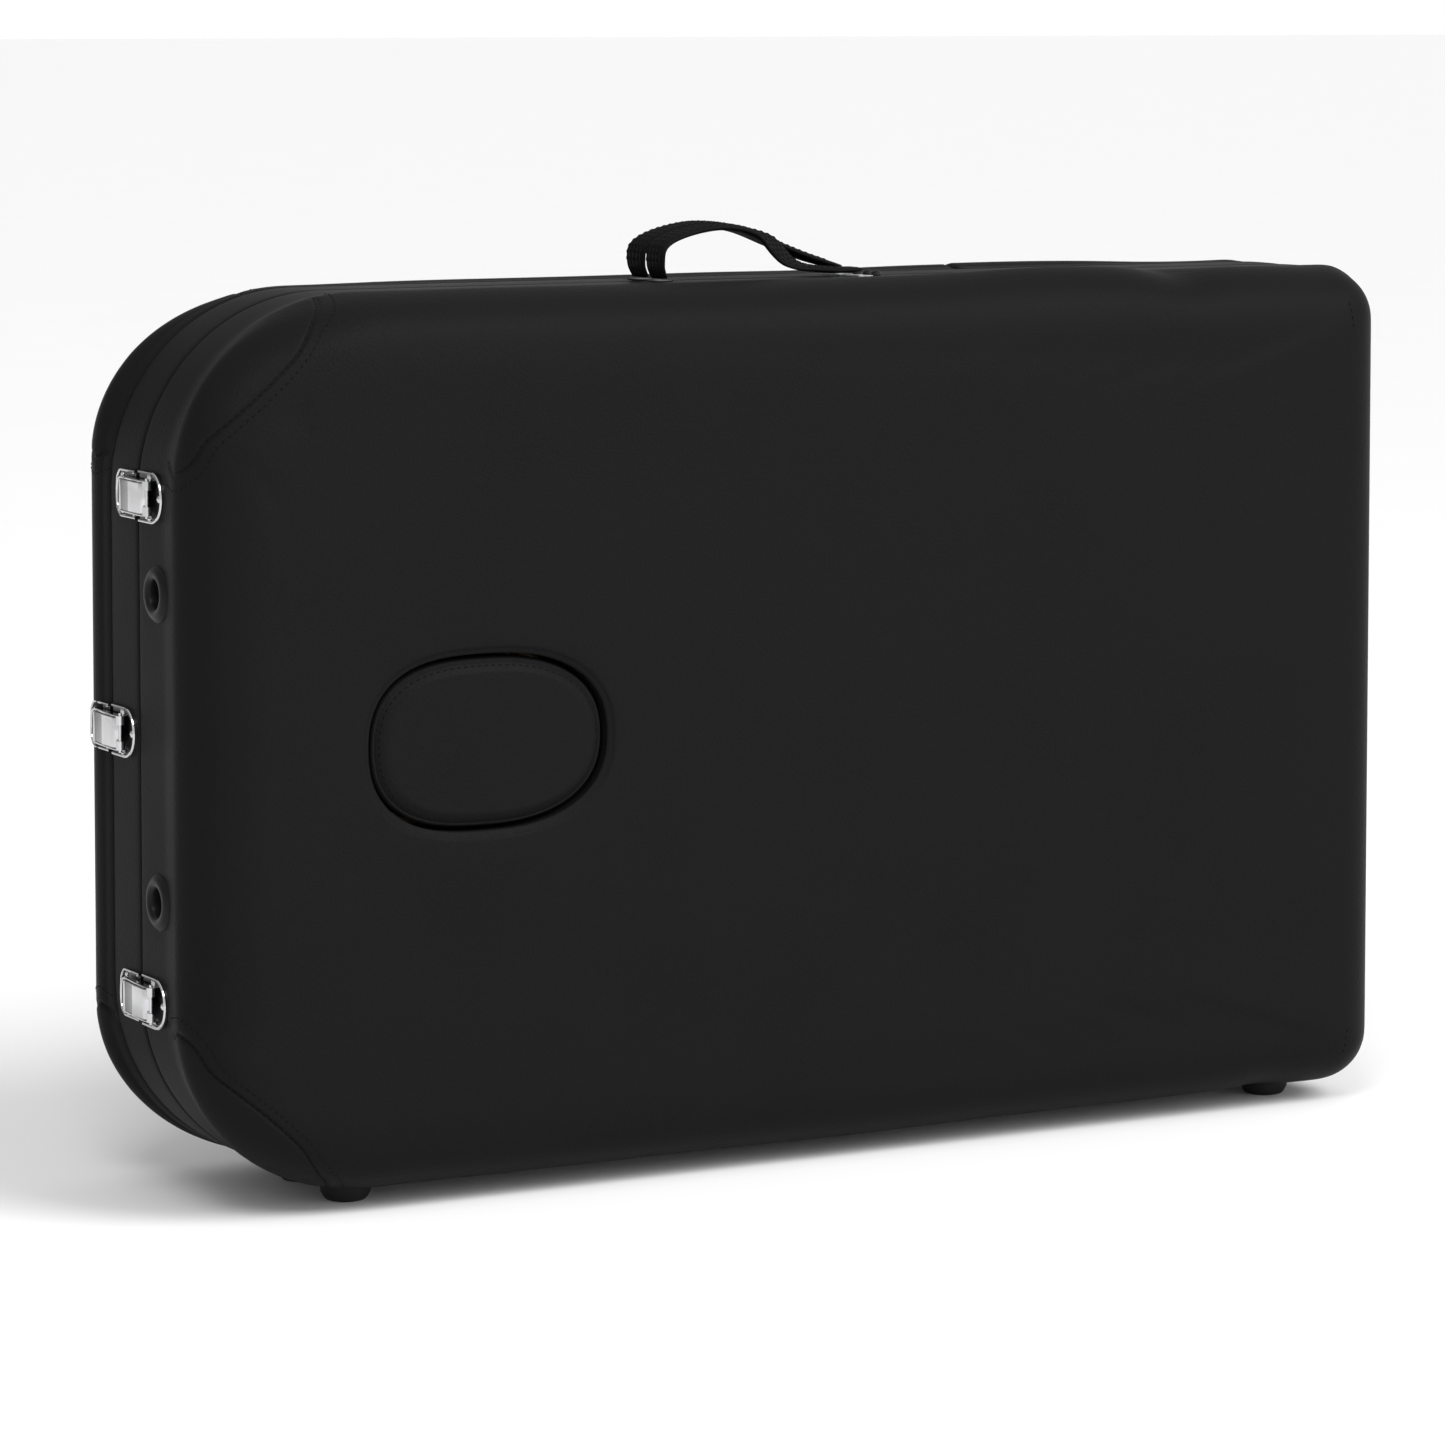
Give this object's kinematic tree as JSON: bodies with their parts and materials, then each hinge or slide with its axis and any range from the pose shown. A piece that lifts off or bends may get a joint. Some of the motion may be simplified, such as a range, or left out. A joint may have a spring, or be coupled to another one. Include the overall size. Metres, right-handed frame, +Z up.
{
  "type": "portable massage table",
  "caption": "Two-section portable massage table with a lift-back, folded flat into a padded leatherette carrying case standing on its long side on rubber feet.",
  "frame": {"origin": "on the floor under the middle of the folded case's box", "axes": "+Z up, +X along the case from the latch end to the fold hinge, -Y the face with the face hole"},
  "size_m": [0.9432, 0.216, 0.6474],
  "materials": {
    "leather": "fine pebble grain, low satin",
    "ply": "oiled beech plywood",
    "beech": "oiled solid beech",
    "chrome": "polished chrome plate",
    "steel": "zinc plated",
    "aluminium": "satin anodised",
    "plastic": "satin moulded",
    "rubber": "matt"
  },
  "bodies": {
    "front_half": {"front_rail_lower": "beech", "front_rail_upper": "beech", "front_hinge_end_rail": "beech", "front_latch_end_bow": "beech", "front_skirt": "leather", "front_deck": "ply", "front_cushion": "leather", "port_socket_lower": "plastic", "port_socket_upper": "plastic", "fold_hinge_front_leaf": "steel", "front_leg_rod": "steel", "latch_base_upper": "chrome", "latch_base_lower": "chrome", "front_foot_latch_end": "rubber", "front_foot_hinge_end": "rubber"},
    "face_plug": {"face_plug_board": "ply", "face_plug_cushion": "leather"},
    "back_half": {"back_rail_lower": "beech", "back_rail_upper": "beech", "back_hinge_end_rail": "beech", "back_latch_end_bow": "beech", "back_skirt": "leather", "seat_deck": "ply", "seat_cushion": "leather", "fold_hinge_back_leaf": "steel", "back_leg_rod": "steel", "latch_catch_upper": "chrome", "latch_catch_lower": "chrome", "latch_base_middle": "chrome", "back_foot_latch_end": "rubber", "back_foot_hinge_end": "rubber", "prop_crossboard": "ply", "prop_rack": "beech"},
    "backrest": {"backrest_deck": "ply", "backrest_cushion": "leather", "latch_catch_middle": "chrome", "prop_bracket_lower": "plastic", "prop_bracket_upper": "plastic"},
    "prop": {"backrest_prop": "steel"},
    "front_legs": {"front_leg_lower": "aluminium", "front_leg_upper": "aluminium", "front_leg_crossbar": "aluminium"},
    "front_leg_extension_lower_body": {"front_leg_extension_lower": "aluminium", "front_leg_foot_lower": "rubber"},
    "front_leg_extension_upper_body": {"front_leg_extension_upper": "aluminium", "front_leg_foot_upper": "rubber"},
    "back_legs": {"back_leg_lower": "aluminium", "back_leg_upper": "aluminium", "back_leg_crossbar": "aluminium"},
    "back_leg_extension_lower_body": {"back_leg_extension_lower": "aluminium", "back_leg_foot_lower": "rubber"},
    "back_leg_extension_upper_body": {"back_leg_extension_upper": "aluminium", "back_leg_foot_upper": "rubber"},
    "latch_upper": {"latch_lever_upper": "chrome"},
    "latch_lower": {"latch_lever_lower": "chrome"},
    "latch_middle": {"latch_lever_middle": "chrome"},
    "front_handle_body": {"front_handle": "leather"},
    "back_handle_body": {"back_handle": "leather"}
  },
  "joints": [
    {"name": "main_fold", "type": "hinge", "parent": "front_half", "child": "back_half", "pos_m": [0.4684, 0, 0.311], "axis": [0, 0, -1], "range_deg": [0, 180]},
    {"name": "front_leg_fold", "type": "hinge", "parent": "front_half", "child": "front_legs", "pos_m": [-0.3271, -0.0245, 0.311], "axis": [0, 0, 1], "range_deg": [0, 95]},
    {"name": "front_leg_extend_lower", "type": "slide", "parent": "front_legs", "child": "front_leg_extension_lower_body", "axis": [1, 0, 0], "range_m": [0, 0.24]},
    {"name": "front_leg_extend_upper", "type": "slide", "parent": "front_legs", "child": "front_leg_extension_upper_body", "axis": [1, 0, 0], "range_m": [0, 0.24]},
    {"name": "back_leg_fold", "type": "hinge", "parent": "back_half", "child": "back_legs", "pos_m": [-0.3271, 0.0245, 0.311], "axis": [0, 0, -1], "range_deg": [0, 95]},
    {"name": "back_leg_extend_lower", "type": "slide", "parent": "back_legs", "child": "back_leg_extension_lower_body", "axis": [1, 0, 0], "range_m": [0, 0.24]},
    {"name": "back_leg_extend_upper", "type": "slide", "parent": "back_legs", "child": "back_leg_extension_upper_body", "axis": [1, 0, 0], "range_m": [0, 0.24]},
    {"name": "backrest_tilt", "type": "hinge", "parent": "back_half", "child": "backrest", "pos_m": [0.2, 0.108, 0.311], "axis": [0, 0, -1], "range_deg": [0, 65]},
    {"name": "prop_swing", "type": "hinge", "parent": "backrest", "child": "prop", "pos_m": [-0.1, 0.0425, 0.311], "axis": [0, 0, -1], "range_deg": [0, 4]},
    {"name": "latch_upper_turn", "type": "hinge", "parent": "front_half", "child": "latch_upper", "pos_m": [-0.4676, -0.029, 0.479], "axis": [0, 0, 1], "range_deg": [0, 100]},
    {"name": "latch_lower_turn", "type": "hinge", "parent": "front_half", "child": "latch_lower", "pos_m": [-0.4676, -0.029, 0.143], "axis": [0, 0, 1], "range_deg": [0, 100]},
    {"name": "latch_middle_turn", "type": "hinge", "parent": "back_half", "child": "latch_middle", "pos_m": [-0.4676, 0.02, 0.311], "axis": [0, 0, 1], "range_deg": [0, 100]},
    {"name": "front_handle_flop", "type": "hinge", "parent": "front_half", "child": "front_handle_body", "pos_m": [0, -0.031, 0.609], "axis": [1, 0, 0], "range_deg": [0, 85]},
    {"name": "back_handle_flop", "type": "hinge", "parent": "back_half", "child": "back_handle_body", "pos_m": [0, 0.031, 0.609], "axis": [-1, 0, 0], "range_deg": [0, 85]},
    {"name": "plug_lift", "type": "slide", "parent": "front_half", "child": "face_plug", "axis": [0, -1, 0], "range_m": [0, 0.12]}
  ],
  "couplings": [
    {"joint": "front_leg_fold", "follows": "main_fold", "ratio": 0.52778},
    {"joint": "back_leg_fold", "follows": "main_fold", "ratio": 0.52778},
    {"joint": "prop_swing", "follows": "backrest_tilt", "ratio": 0.061538}
  ]
}
